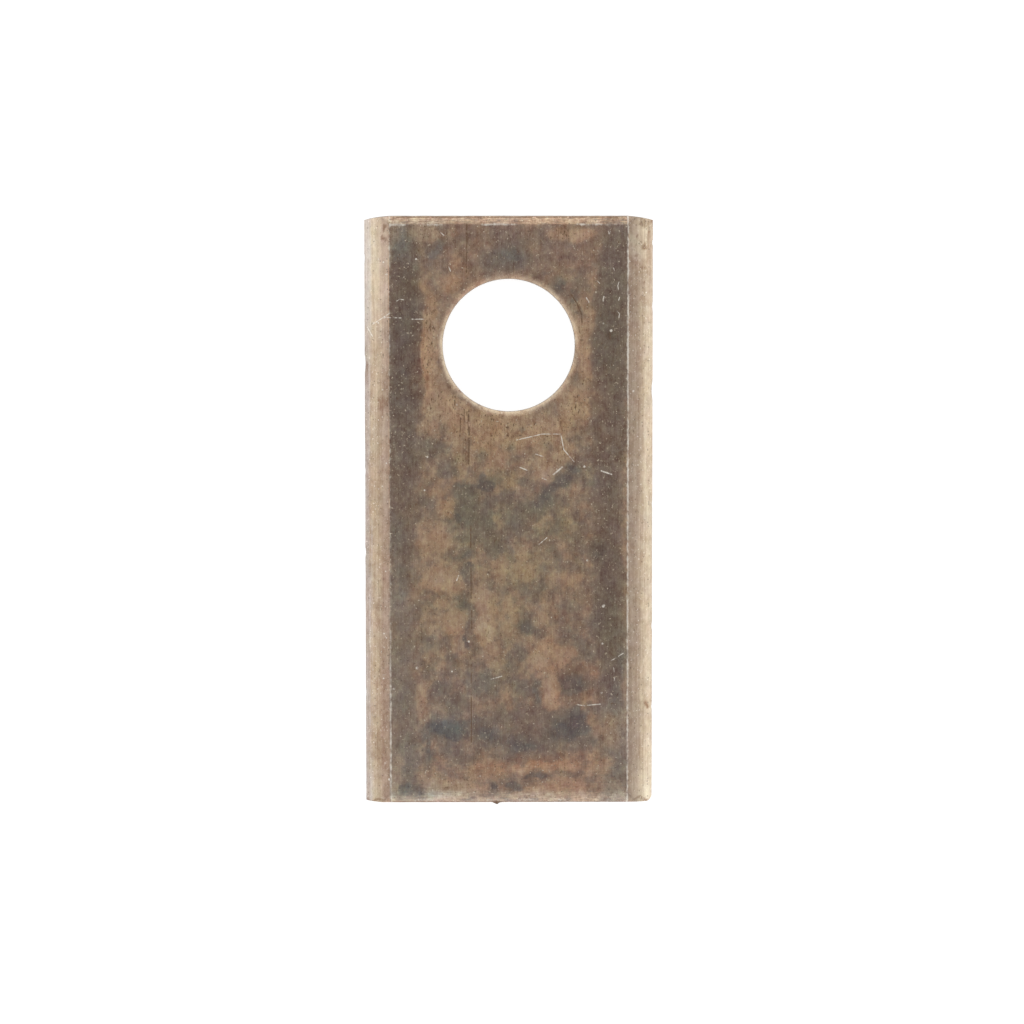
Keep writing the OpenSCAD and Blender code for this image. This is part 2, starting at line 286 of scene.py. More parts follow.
# Dark lines on the bevelled face, in the same form: marks, and painted shade beside the hole's rim and along
# the far end's edge and its burr
DARK_LINES = (
    # Painted shade in an arc beside the hole's rim, at its upper right
    (0.3, (10.3, 8.3), (11.2, 7), (11.9, 5.4), (12.1, 3.8)), (0.4, (11.1, 0.6), (11.05, -1.2)),
    (0.26, (-6.9, 20), (-7, 12)), (0.26, (-7.4, -10.6), (-7.4, -13)), (0.45, (-6.7, -11), (-6.6, -14.8)),
    (0.4, (-6.6, -15.4), (-6.7, -19.6)), (0.22, (-8, -12), (-8.1, -15)),
    (0.26, (-6.3, -30), (-6.4, -33.5)), (0.26, (-6.3, -37), (-6.3, -42)),
    (0.26, (-6.2, -44), (-6.2, -47)), (0.24, (-6.3, -53), (-6.3, -56)), (0.24, (-6.3, -58), (-6.3, -66)),
    # Painted shade along the far end's edge and on its burr
    (0.42, (-20.5, -76.2), (20.5, -76.25)), (0.45, (-2.1, -76.1), (-2.1, -77)),
    (0.3, (-18.5, 21.1), (18, 21.1)),
)
# Bright specks on the bevelled face: centre and radius
SPECKS = (
    (-15.3, 14.2, 0.22), (-8.6, -9.8, 0.2), (-14, -24, 0.18), (-13.5, -18.5, 0.18),
    (-15.3, -53.6, 0.3), (-6.7, -49.2, 0.24), (15.5, -49.6, 0.24), (-9.5, -54.2, 0.18),
    (12.5, -20.1, 0.24), (13.2, -20.2, 0.16), (13, -35.7, 0.22), (15.7, -43.3, 0.36),
    (-19.2, -57.1, 0.24), (15.4, -57.8, 0.22), (16.9, 2.4, 0.3), (16.6, 18.7, 0.28), (15.6, 3.6, 0.2),
    (20.6, -7.6, 0.25), (-20.8, -47.9, 0.16), (-20.4, -48.6, 0.14), (-20.9, -55.4, 0.18),
    (-20.7, -69.6, 0.2), (-20, -72.3, 0.25), (-20.5, -37.5, 0.15), (-20.3, -19.5, 0.15),
    (-20.1, 11.7, 0.2), (-20.7, 13.7, 0.18), (-21.6, 14.2, 0.16), (-19.7, 7.1, 0.15), (-21.6, 3.7, 0.2),
)

# Parts of the blade along it: where each begins, and the length over which it comes in.
# A length below 0 runs towards the far end.
ZONES = {
    "past_hole": (-14, -8),
    "far_half": (-30, -8),
    "near_half": (-30, 8),
    "far_crease": (-45, -4),
    "near_crease": (8, 6),
    "far_pink": (-50, -8),
    "near_pink": (10, 4),
    "far_strip": (-67, -3),
    "near_strip": (12, 3),
    "beyond_film": (-38, -6),
    "beyond_hole": (11, 3),
    "near_lively": (11, 2),
    "below_hole": (-9, -3),
    "before_middle": (-23, 4),
    "far_specks": (-38, -8),
    "last_specks": (-66, -4),
}
# Stripes beside the creases, the ring of plainer steel round the hole, and the edges of both
STRIPE_BEGIN = 14.5
STRIPE_EDGE = 2
RING_WIDTH = 6.5
RING_EDGE = 3
# Size of the humps that make stains ragged, and the width of the edge of the film
RAGGED_SIZE = 2.2
FILM_EDGE = 2.2
# Pale lines of rubbed steel with painted highlights: half widths on the creases and at the ends, and the far
# line's distance from its end
CREASE_LINE = 0.18
NEAR_LINE = 0.2
FAR_LINE = 0.25
FAR_LINE_PLACE = 0.7
# The painted highlight on the hole's rim, brightest where the light falls: width, least strength, and arcs by
# direction, strength, level and slope
RIM_WIDTH = 0.9
RIM_LEAST = 0.1
RIM_ARCS = ((-2.1, 0.8, 0.3, 0.9), (0.5, 0.45, -1.5, 2.5))

# Base colours of the steel, from its darkest tone to its lightest
STEEL_TONES = (
    (0, (0.225, 0.177, 0.152)), (0.2, (0.29, 0.217, 0.173)), (0.4, (0.385, 0.288, 0.217)),
    (0.55, (0.475, 0.342, 0.243)), (0.75, (0.635, 0.44, 0.293)), (0.9, (0.76, 0.56, 0.39)),
    (1, (0.88, 0.69, 0.5)),
)
MIDDLE_TONE = 0.55
# What each stain or part of the flat does to the tone, to the warmth and to the green of the steel
EFFECTS = {
    "tan": (0.25, 0, 0.2),
    "grey": (-0.16, -0.3, 0.3),
    "haze": (-0.12, -0.1, 0.1),
    "rust": (-0.02, 0.7, -0.3),
    "olive": (0, -0.1, 0.8),
    "cool": (0, -0.9, 0.2),
    "film": (-0.41, 0, 0.1),
    "near_roll": (0.06, -0.3, 0.4),
    "far_roll": (0.05, -0.9, 0),
    "far_strip": (-0.05, 0, 0),
    "far_pink": (0, 0, -0.45),
    "near_pink": (0, 0, -0.35),
    "everywhere": (0, 0.1, -0.2),
}
WARM_TINT = (0.09, -0.03, -0.13)
# Darker steel is browner, so its shade changes blue more than red
SHADE_TINT = (0.79, 1, 1.1)
GREEN_TINT = (-0.02, 0.02, -0.07)
# Tones of the blue stains, which are greyer than the steel around them and so look blue
BLUE_TONES = (
    (0.38, (0.29, 0.213, 0.178)), (0.46, (0.24, 0.19, 0.166)), (0.54, (0.295, 0.238, 0.197)),
    (0.62, (0.325, 0.277, 0.232)),
)
# Bands across each bevel, from the crease to the cutting edge
LEFT_BANDS = (
    (0, (0.56, 0.41, 0.315)), (0.28, (0.55, 0.405, 0.305)), (0.45, (0.54, 0.415, 0.295)),
    (0.68, (0.53, 0.413, 0.298)), (0.85, (0.475, 0.392, 0.33)), (1, (0.46, 0.385, 0.335)),
)
RIGHT_BANDS = (
    (0, (0.475, 0.361, 0.274)), (0.42, (0.47, 0.36, 0.268)), (0.58, (0.52, 0.405, 0.29)),
    (0.7, (0.61, 0.495, 0.365)), (1, (0.62, 0.505, 0.375)),
)
# Bare polished steel, and the painted highlights on the creases and ends
POLISHED_AND_HIGHLIGHT = (1, 0.93, 0.82)
CREAM = (0.9, 0.75, 0.55)
DASH = (0.26, 0.155, 0.095)
PIT = (0.15, 0.11, 0.09)
SHEARED = (0.3, 0.235, 0.185)
TORN = (0.17, 0.135, 0.11)

# Patterns in the steel: humps to the millimetre along each axis, detail, roughness and shift
PATTERNS = {
    "mottle": ((0.9, 0.7, 0.9), 4, 0.7),
    "fine": ((6, 4.6, 6), 1, 0.5),
    "flecks": ((2.8, 1.4, 2.8), 2, 0.5),
    "dashes": ((3.2, 1.5, 3.2), 2.5, 0.6, (30, 70, 40)),
    "glints": ((3.4, 2.8, 3.4), 2, 0.5, (50, 50, 50)),
    "hues": ((0.32, 0.28, 0.32), 4, 0.6, (90, 20, 10)),
    "greens": ((0.36, 0.32, 0.36), 5, 0.75, (10, 60, 70)),
    "patches": ((0.45, 0.4, 0.45), 5, 0.65, (20, 40, 80)),
    "grain": ((4.5, 0.25, 4.5), 3, 0.5),
    "streaks": ((2.2, 0.06, 2.2), 4, 0.7),
    "hairlines": ((6, 0.05, 6), 2, 0.5),
    "cross_streaks": ((0.7, 3.6, 3.6), 3, 0.7),
    "drawn": ((4, 4, 0.3), 4, 0.7),
}
# How much of each pattern goes into what the steel shows
FLAT_PATCHES = {"patches": 0.8}
FLAT_BLUE = {"mottle": 1}
FLAT_WARMTH = {"hues": 2}
FLAT_GREEN = {"greens": 4, "mottle": 3, "flecks": 2}
FLAT_SHADE = {"mottle": 1.45, "grain": 0.6, "fine": 0.45}
END_STREAKS = {"cross_streaks": 1.6}
BAND_EDGES = {"streaks": 0.5, "flecks": 0.15}
BEVEL_LINES = {"hairlines": 0.7, "fine": 0.4}
BEVEL_SHADE = {"streaks": 0.8, "mottle": 1.05}
BEVEL_WARMTH = {"hues": 1.2}
BEVEL_GREEN = {"greens": 3}
TORN_EDGE = {"flecks": 2, "mottle": 2}
CUT_SHADE = {"drawn": 1.5, "mottle": 1.6, "fine": 0.6}
CUT_WARMTH = {"hues": 2.5}
FLECK_CLUSTERS = {"greens": 0.5}
RUB_AND_HIGHLIGHT_EDGES = {"flecks": 1.2}
RELIEF = {"grain": 1, "mottle": 1}
CUT_RELIEF = {"drawn": 2}
ROUGHER = {"flecks": 0.25}
# Scattered dots: cells to the millimetre, radius, share of the cells that have one, and strength
PITS = (0.9, 0.16, 0.2, 0.5)
BEVEL_PITS = (1.2, 0.14, 0.08, 0.55)
# Finish of the steel, with the depth of its relief
ROUGHNESS = 0.42
METALLIC = 0.92
RELIEF_STRENGTH = 0.35
RELIEF_DEPTH = 0.04

# Patches of the square that textures are baked to: form, left and low side, width and height
BAKE_SIDE = 106
BAKE_PATCHES = {
    "upper": ("face", 1, 1.5, 48, 98),
    "under": ("face", 50, 1.5, 48, 98),
    "far": ("end", 1, 100.2, 48, 3.7),
    "near": ("end", 50, 100.2, 48, 3.7),
    "right": ("edge", 99, 1.5, 0.8, 98),
    "left": ("edge", 100.4, 1.5, 0.8, 98),
    "hole": ("hole", 101.8, 1.5, 3.6, 69.5),
}


def smooth(value):
    """Eases from 0 to 1 as the value goes from 0 to 1"""
    part = np.clip(value, 0, 1)
    return part * part * (3 - 2 * part)


def rolled_drop(distance, run, depth, roundness):
    """How far an arc has dropped, at a distance before the corner that it takes off"""
    chord = math.hypot(run, depth)
    slope = math.atan2(depth, run)
    half_angle = roundness * min(slope, math.pi / 2 - slope)
    radius = chord / 2 / math.sin(half_angle)
    centre_x = -run / 2 - depth / chord * radius * math.cos(half_angle)
    centre_y = -depth / 2 - run / chord * radius * math.cos(half_angle)
    place = -np.clip(distance, 0, run)
    drop = -centre_y - np.sqrt(radius**2 - (place - centre_x) ** 2)
    return np.where(np.asarray(distance) < run, drop, 0)


def noise(x, y, seed):
    """Smooth noise from -1 to 1, with about one hump per unit"""
    side = 256
    table = np.random.default_rng(seed).uniform(-1, 1, (side, side))
    column = np.floor(x).astype(int)
    row = np.floor(y).astype(int)
    across = smooth(x - column)
    along = smooth(y - row)
    lower, upper = [
        table[line % side, column % side] * (1 - across) + table[line % side, (column + 1) % side] * across
        for line in (row, row + 1)
    ]
    return lower * (1 - along) + upper * along


def cloud(x, y, size, seed, octaves=3):
    """Noise whose largest humps have that size, with finer ones on top, mostly from -1 to 1"""
    span = 1.5
    total = np.zeros_like(x)
    for octave in range(octaves):
        scale = 2**octave / size
        total += noise(x * scale, y * scale, seed + octave) / 2**octave
    return total / span


def zone(name, y):
    """Eases from 0 to 1 into a part of the blade"""
    begin, length = ZONES[name]
    return smooth((y - begin) / length)


def line_at(distance, width):
    """1 on a line and 0 away from it, by the distance from the line"""
    return np.exp(-((distance / width) ** 2))


def lines(start, *stretches):
    """Mesh lines from a start through stretches, each given by where it ends and its number of cells"""
    made = [np.array([start])]
    for stop, cells in stretches:
        made.append(np.linspace(made[-1][-1], stop, cells + 1)[1:])
    return np.concatenate(made)


def plan_grid():
    """A flat mesh of the blade's rectangle with its round hole.
    Gives its points, its faces, the loops of its four sides and the loop of the hole."""
    side_cells = round(2 * BLOCK / CELL)
    half = lines(
        BLOCK,
        (CREASE - CREASE_ZONE, round((CREASE - CREASE_ZONE - BLOCK) / CELL)),
        (CREASE + CREASE_ZONE, CREASE_CELLS),
        (HALF_WIDTH - EDGE_ZONE, BEVEL_CELLS),
        (HALF_WIDTH, EDGE_CELLS),
    )
    middle = np.linspace(-BLOCK, BLOCK, side_cells + 1)
    across = np.concatenate([-half[:0:-1], middle, half[1:]])
    far_band = FAR_END + FAR_ROLL[0] + ROLL_MARGIN
    near_band = NEAR_END - NEAR_ROLL[0] - ROLL_MARGIN
    along = lines(
        FAR_END,
        (far_band, FAR_ROLL_CELLS),
        (-BLOCK, round((-BLOCK - far_band) / CELL)),
        (BLOCK, side_cells),
        (near_band, round((near_band - BLOCK) / CELL)),
        (NEAR_END, NEAR_ROLL_CELLS),
    )
    left = len(half) - 1
    right = left + side_cells
    low = int(np.argmin(abs(along + BLOCK)))
    high = low + side_cells

    number = np.full((len(along), len(across)), -1)
    outside = np.ones(number.shape, bool)
    outside[low + 1 : high, left + 1 : right] = False
    number[outside] = np.arange(outside.sum())
    rows, columns = np.nonzero(outside)
    points = [np.column_stack([across[columns], along[rows]])]
    cells = np.stack([number[:-1, :-1], number[:-1, 1:], number[1:, 1:], number[1:, :-1]], axis=-1)
    solid = np.ones(cells.shape[:2], bool)
    solid[low:high, left:right] = False
    faces = [cells[solid]]

    # Rings from the square inwards to the hole
    bottom, top = number[low, left:right], number[high, right:left:-1]
    ring = np.concatenate([bottom, number[low:high, right], top, number[high:low:-1, left]])
    square = points[0][ring]
    turn = np.linspace(0, 2 * math.pi, len(ring), endpoint=False) - 0.75 * math.pi
    circle = np.column_stack([np.cos(turn), np.sin(turn)])
    rim_start = HOLE_RADIUS + RIM_ZONE
    steps = np.linspace(0, 1, SPREAD_RINGS + 1)[1:]
    rings = [square + (circle * rim_start - square) * step for step in steps]
    rings += [circle * radius for radius in np.linspace(rim_start, HOLE_RADIUS, RIM_RINGS + 1)[1:]]
    count = len(points[0])
    for made in rings:
        inner = np.arange(count, count + len(ring))
        faces.append(np.column_stack([ring, np.roll(ring, -1), np.roll(inner, -1), inner]))
        points.append(made)
        count += len(ring)
        ring = inner

    ends = {
        "far": number[0, :-1],
        "right": number[:-1, -1],
        "near": number[-1, :0:-1],
        "left": number[:0:-1, 0],
    }
    return np.concatenate(points), np.concatenate(faces), ends, ring


def nick_depth(side, y):
    """How far the cutting edge on one side is worn back"""
    depth = EDGE_WAVE * (1 + cloud(y, np.full_like(y, 7 * side), 3, 21))
    for nick_side, place, deep, width in NICKS:
        if nick_side == side:
            depth = np.maximum(depth, deep * (1 - ((y - place) / width) ** 2))
    return depth


def worn_outline(x, y, end_height):
    """Moves plan points so that the rectangle's rim takes the blade's worn outline.
    The sheared faces lean, so the rim at a height lies that much further in."""
    edge_distance = HALF_WIDTH - abs(x)
    near_corners, far_corner, worn_corner = [
        rolled_drop(edge_distance, *corner) for corner in (NEAR_CORNER, FAR_CORNER, WORN_CORNER)
    ]
    ripple = abs(END_RIPPLE * cloud(x, np.zeros_like(x), 2, 31))
    near_back = near_corners + SHEAR_LEAN * end_height / (THICKNESS - NEAR_ROLL[1])
    far_back = np.where(x < 0, far_corner, worn_corner)
    far_back += SHEAR_LEAN * end_height / (THICKNESS - FAR_ROLL[1])
    near_part = smooth((y - NEAR_END + END_REACH) / END_REACH)
    far_part = smooth((FAR_END + END_REACH - y) / END_REACH)
    new_y = y - (near_back + ripple) * near_part + (far_back + ripple) * far_part
    burr = BURR_HEIGHT * line_at(x - BURR_PLACE, BURR_WIDTH)
    new_y -= burr * smooth((FAR_END + BURR_REACH - y) / BURR_REACH)
    worn = np.where(x < 0, nick_depth(-1, y), nick_depth(1, y))
    new_x = x - np.sign(x) * worn * smooth(1 - edge_distance / EDGE_REACH)
    return new_x, new_y


def upper_height(flat_x, x, y):
    """Height of the bevelled face. The bevels follow the unworn rectangle, so flat_x is across it"""
    drops = [
        rolled_drop(HALF_WIDTH - abs(flat_x), *BEVEL),
        rolled_drop(NEAR_END - SHEAR_LEAN - y, *NEAR_ROLL),
        rolled_drop(y - FAR_END - SHEAR_LEAN, *FAR_ROLL),
        rolled_drop(np.hypot(x, y) - HOLE_RADIUS, *HOLE_ROLL),
    ]
    return THICKNESS - np.maximum.reduce(drops)


def wall_rows(start, stop, seed):
    """Rows of points between two loops, smooth near the top and rough below, as shearing leaves steel"""
    along = np.roll(start, -1, 0)[:, :2] - np.roll(start, 1, 0)[:, :2]
    outward = np.column_stack([along[:, 1], -along[:, 0]]) / np.linalg.norm(along, axis=1, keepdims=True)
    run = np.cumsum(np.linalg.norm(along, axis=1)) / 2
    rows = []
    for step in np.linspace(0, 1, WALL_ROWS + 1)[1:-1]:
        points = start + (stop - start) * step
        torn = smooth((step - SMOOTH_SHARE) / TORN_SOFTNESS) * smooth((1 - step) / LOW_EDGE_SHARE)
        bumps = cloud(run, np.full_like(run, step * BUMP_ROWS), BUMP_SIZE, seed)
        points[:, :2] += outward * (bumps * BUMP_HEIGHT * torn)[:, None]
        rows.append(points)
    return rows


def stain_field(x, y, stains, seed, softness):
    """Strength of the stains at each point, run together where they meet.
    One stain alone has half of its strength at its half sizes, and softness is the width of its edge."""
    warped_x = x + cloud(x, y, RAGGED_SIZE, seed, 5)
    warped_y = y + cloud(x, y, RAGGED_SIZE, seed + 10, 5)
    total = np.zeros_like(x)
    for centre_x, centre_y, across, along, strength in stains:
        reach = np.hypot((warped_x - centre_x) / across, (warped_y - centre_y) / along)
        total += (strength * smooth((1 - reach) / softness + 0.5)) ** 3
    return np.cbrt(total)


def film_strength(x, y):
    """Strength of the dark film along the creases"""
    total = np.zeros_like(x)
    wander = cloud(x, y, 3.5, 88, 4)
    for side, film in ((-1, LEFT_FILM), (1, RIGHT_FILM)):
        along, begins, strengths = np.transpose(film)
        into = side * x - np.interp(y, along, begins) + wander
        total += np.interp(y, along, strengths) * smooth(into / FILM_EDGE + 0.5)
    past_hole = zone("past_hole", y)
    left_loss = 0.4 + 0.5 * zone("far_half", y)
    right_loss = 0.5 + 0.45 * past_hole
    by_crease = line_at(abs(x) - CREASE, 0.8 + 0.8 * past_hole)
    return total * (1 - np.where(x < 0, left_loss, right_loss) * by_crease)


def polish_and_highlights(flat_x, x, y):
    """Where rubbing keeps the steel bright, with painted highlights on these edges: along the creases and the
    rolled ends
    """
    left_strength = 0.33 + 0.3 * zone("far_crease", y) + 0.2 * zone("near_crease", y)
    crease = line_at(abs(flat_x) - CREASE, CREASE_LINE) * np.where(flat_x > 0, 0.85, left_strength)
    near_line = NEAR_END - SHEAR_LEAN - NEAR_ROLL[0] + 0.15 * cloud(x, y, 1.5, 66)
    near = 0.9 * line_at(near_line - y, NEAR_LINE) * smooth(0.45 + 1.3 * cloud(x, y, 4, 65))
    far_line = y - FAR_END - FAR_LINE_PLACE
    far = 0.6 * line_at(far_line, FAR_LINE) * smooth(0.5 + cloud(x, y, 3, 68))
    ends = np.where(abs(flat_x) > CREASE, 0, np.maximum(near, far))
    patchy = 0.75 + 0.35 * cloud(x, y, 3, 61)
    return np.clip(np.maximum(crease, ends) * patchy, 0, 1)


def rim_highlight(x, y):
    """How pale the painted highlight on the drawn-down rim of the hole is, most where the light falls on it
    """
    turn = np.arctan2(y, x)
    strength = np.full_like(x, RIM_LEAST)
    for direction, strongest, level, slope in RIM_ARCS:
        strength += strongest * smooth(level + slope * np.cos(turn - direction))
    return smooth(1 - (np.hypot(x, y) - HOLE_RADIUS) / RIM_WIDTH) * strength


def upper_layers(flat_x, x, y):
    """What the material reads from the mesh of the bevelled face. The bevels follow flat_x"""
    on_bevel = abs(flat_x) > CREASE + 0.001
    across = np.clip((abs(flat_x) - CREASE) / BEVEL[0], 0, 1)
    parts = {kind: stain_field(x, y, *stains) for kind, stains in STAIN_KINDS.items()}
    tan, grey, blue = parts["tan"], parts["grey"], parts["blue"]
    film = film_strength(x, y)
    near_roll = smooth((y - NEAR_END + SHEAR_LEAN + NEAR_ROLL[0]) / 0.2)
    far_roll = smooth((FAR_END + SHEAR_LEAN + FAR_ROLL[0] + 0.4 - y) / 1.2)
    parts.update(film=film, near_roll=near_roll, far_roll=far_roll, everywhere=1)
    for name in ("far_strip", "far_pink", "near_pink"):
        parts[name] = zone(name, y)
    tone, warm, green = [
        sum(effects[number] * parts[name] for name, effects in EFFECTS.items()) for number in range(3)
    ]

    stripe = smooth((abs(x) - STRIPE_BEGIN) / STRIPE_EDGE)
    beyond_film = zone("beyond_film", y)
    beyond_hole = zone("beyond_hole", y)
    stripes = stripe * np.maximum(beyond_film, beyond_hole)
    hole_ring = smooth((RING_WIDTH - np.hypot(x, y) + HOLE_RADIUS) / RING_EDGE)
    plain = np.maximum.reduce([film, stripes, 0.5 * zone("near_strip", y), 0.7 * hole_ring])
    streaked = np.maximum.reduce([near_roll, 0.6 * far_roll, 0.3 * parts["far_strip"]])
    quiet = np.maximum.reduce([grey, blue, tan * zone("far_half", y)])
    calm = np.clip(quiet - film, 0, 1) - zone("near_lively", y)
    calm += 1.7 * stripe * beyond_film * (x < 0)
    calm -= 1.4 * zone("below_hole", y) * zone("before_middle", y)
    speckle = np.clip(tan - film, 0, 1) * (0.2 + 0.8 * zone("near_half", y))
    far_specks = 0.75 * zone("far_specks", y) + 0.7 * zone("last_specks", y)
    crowd = np.maximum.reduce([film, far_specks, 0.8 * beyond_hole])
    by_crease = smooth(1 - across / 0.35) * (flat_x < 0) * (0.6 + 0.8 * cloud(x, y, 5, 96))
    return {
        "tone": np.where(on_bevel, parts["bevel"], tone),
        "warm": warm,
        "green": green,
        "blue": blue,
        "bevel": np.sign(flat_x) * across,
        "calm": np.where(on_bevel, 0, calm),
        "speckle": np.where(on_bevel, 0, speckle),
        "roll": np.where(on_bevel, 0, streaked),
        # Painted highlight on the hole's rim
        "rim": rim_highlight(x, y),
        "plain": np.where(on_bevel, 0, plain),
        "crowd": np.where(on_bevel, by_crease, crowd),
        # Rubbed bright steel with painted highlights, along the creases and the ends
        "rub_and_highlight": polish_and_highlights(flat_x, x, y),
    }


def under_layers(x, y):
    """What the material reads from the mesh of the underside. The layers left out are 0 there"""
    return {
        "tone": -0.16 + 0.3 * cloud(x, y, 9, 91),
        "warm": 0.6 * cloud(x, y, 12, 92),
        "green": 0.6 * cloud(x, y, 12, 93),
        "blue": 0.2 + 0.7 * cloud(x, y, 7, 94),
        "calm": 0.3,
    }


class Graph:
    """Short ways to add nodes to one node tree, and the patterns that are made there, by name"""

    def __init__(self, tree):
        self.tree = tree
        self.patterns = {}

    def node(self, kind, inputs, **settings):
        """A new node. Each input is a value or another node's output"""
        made = self.tree.nodes.new(kind)
        for name, value in settings.items():
            setattr(made, name, value)
        for key, value in inputs.items():
            if isinstance(value, bpy.types.NodeSocket):
                self.tree.links.new(value, made.inputs[key])
            else:
                made.inputs[key].default_value = value
        return made

    def math(self, operation, *values):
        return self.node("ShaderNodeMath", dict(enumerate(values)), operation=operation).outputs[0]

    def vector(self, operation, *values, output=0):
        return self.node("ShaderNodeVectorMath", dict(enumerate(values)), operation=operation).outputs[output]

    def attribute(self, name):
        return self.node("ShaderNodeAttribute", {}, attribute_name=name).outputs["Fac"]

    def noise(self, place, factors, detail, roughness, shift=(0, 0, 0)):
        """Noise with so many humps to the millimetre along each axis, and finer ones on top"""
        stretched = self.vector("MULTIPLY", self.vector("ADD", place, shift), factors)
        inputs = {"Vector": stretched, "Scale": 1, "Detail": detail, "Roughness": roughness}
        return self.node("ShaderNodeTexNoise", inputs).outputs[0]

    def total(self, *values):
        """The sum of several values"""
        return functools.reduce(lambda made, value: self.math("ADD", made, value), values)

    def times(self, *values):
        """The product of several values"""
        return functools.reduce(lambda made, value: self.math("MULTIPLY", made, value), values)

    def spread(self, pattern, weight):
        """A pattern taken from its middle value of a half, times a weight"""
        return self.math("MULTIPLY_ADD", pattern, weight, -weight / 2)

    def blend(self, weights):
        """The sum of several patterns, each spread by its weight"""
        return self.total(*[self.spread(self.patterns[name], weight) for name, weight in weights.items()])

    def step(self, value, low, high):
        """Eases from 0 to 1 as the value goes from low to high, which may be the smaller one"""
        inputs = {"Value": value, "From Min": low, "From Max": high}
        return self.node("ShaderNodeMapRange", inputs, interpolation_type="SMOOTHSTEP").outputs["Result"]

    def mix(self, amount, first, second):
        """The first colour where the amount is 0, and the second where it is 1"""
        colours = [(*colour, 1) if isinstance(colour, tuple) else colour for colour in (first, second)]
        inputs = {0: amount, 6: colours[0], 7: colours[1]}
        return self.node("ShaderNodeMix", inputs, data_type="RGBA").outputs[2]

    def tint(self, colour, amount, shift):
        """A colour whose red, green and blue change by their shares of the amount"""
        factors = self.vector("MULTIPLY_ADD", amount, shift, (1, 1, 1))
        return self.vector("MULTIPLY", colour, factors)

    def ramp(self, value, stops):
        """A colour that goes through stops, each a place and a colour"""
        made = self.node("ShaderNodeValToRGB", {0: value})
        elements = made.color_ramp.elements
        while len(elements) < len(stops):
            elements.new(1)
        for element, (place, colour) in zip(elements, stops):
            element.position = place
            element.color = (*colour, 1)
        return made.outputs[0]

    def dots(self, place, scale, radius, share, strength):
        """Round marks scattered over the surface, in that share of the cells of a random pattern"""
        inputs = {"Vector": place, "Scale": scale}
        cells = self.node("ShaderNodeTexVoronoi", inputs, voronoi_dimensions="2D").outputs
        draw = self.node("ShaderNodeSeparateColor", {0: cells["Color"]}).outputs[0]
        chosen = self.math("GREATER_THAN", draw, 1 - share)
        mark = self.step(cells["Distance"], radius * scale, radius * scale * 0.4)
        return self.times(mark, chosen, strength)


def line_mark(graph, place, width, start, stop):
    """1 on the straight line between two points and 0 away from it"""
    run = (stop[0] - start[0], stop[1] - start[1], 0)
    offset = graph.vector("SUBTRACT", place, (*start, 0))
    along = graph.vector("DOT_PRODUCT", offset, run, output="Value")
    share = graph.math("DIVIDE", along, run[0] ** 2 + run[1] ** 2)
    share = graph.node("ShaderNodeClamp", {0: share}).outputs[0]
    nearest = graph.node("ShaderNodeVectorMath", {0: run, "Scale": share}, operation="SCALE").outputs[0]
    distance = graph.vector("DISTANCE", offset, nearest, output="Value")
    return graph.step(distance, width / 2, width / 4)


def marks(graph, place, drawn_lines, spots=()):
    """Lines and round spots that are listed"""
    segments = [(line[0], *pair) for line in drawn_lines for pair in zip(line[1:], line[2:])]
    segments += [(radius * 2, (x, y), (x, y)) for x, y, radius in spots]
    found = [line_mark(graph, place, *segment) for segment in segments]
    return functools.reduce(lambda first, second: graph.math("MAXIMUM", first, second), found)


def fleck_marks(graph, lively):
    """Dark flecks, which crowd on the tan stains, and pale ones"""
    crowding = graph.times(graph.attribute("speckle"), 0.1)
    clusters = graph.total(graph.patterns["dashes"], graph.blend(FLECK_CLUSTERS), crowding)
    dark = graph.times(graph.step(clusters, 0.64, 0.8), lively, 0.8)
    pale = graph.times(graph.step(graph.patterns["glints"], 0.62, 0.76), lively, 0.7)
    return dark, pale


def bright_marks(graph, plan, upper):
    """Bright bare steel and painted highlights: scattered specks, listed scratches and specks, and rubbed
    edges with their painted highlights
    """
    crowded = graph.math("MULTIPLY_ADD", graph.attribute("crowd"), -0.035, 0.75)
    specks = graph.step(graph.math("SUBTRACT", graph.patterns["glints"], crowded), 0, 0.06)
    worn = graph.step(graph.patterns["flecks"], 0.25, 0.6)
    scratched = graph.times(marks(graph, plan, SCRATCHES, SPECKS), upper, worn)
    # Rubbed edges, with their painted highlights
    rubbed_and_highlit = graph.total(graph.attribute("rub_and_highlight"), graph.blend(RUB_AND_HIGHLIGHT_EDGES))
    bright = graph.math("MAXIMUM", graph.times(specks, 0.7), scratched)
    return graph.math("MAXIMUM", bright, graph.step(rubbed_and_highlit, 0.1, 0.9))


def flat_colour(graph, plain, lively):
    """Colour of the flat and its rolled ends, with their stains"""
    streaked = graph.total(graph.blend(END_STREAKS), 0.12)
    end_tone = graph.times(graph.attribute("roll"), streaked)
    patchy = graph.math("MULTIPLY_ADD", plain, -0.7, 1)
    patched = graph.times(graph.blend(FLAT_PATCHES), patchy)
    level = graph.total(graph.attribute("tone"), patched)
    contrast = graph.spread(graph.step(level, -0.13, 0.13), 0.18)
    tone = graph.total(graph.times(level, 0.62), contrast, end_tone, MIDDLE_TONE)
    colour = graph.ramp(tone, STEEL_TONES)
    blue = graph.total(graph.attribute("blue"), graph.blend(FLAT_BLUE))
    blue = graph.times(graph.step(blue, 0.15, 1.05), 0.95)
    colour = graph.mix(blue, colour, graph.ramp(graph.patterns["hues"], BLUE_TONES))
    warm = graph.total(graph.attribute("warm"), graph.blend(FLAT_WARMTH))
    colour = graph.tint(colour, warm, WARM_TINT)
    green = graph.total(graph.attribute("green"), graph.blend(FLAT_GREEN))
    colour = graph.tint(colour, green, GREEN_TINT)
    return graph.tint(colour, graph.times(graph.blend(FLAT_SHADE), lively), SHADE_TINT)


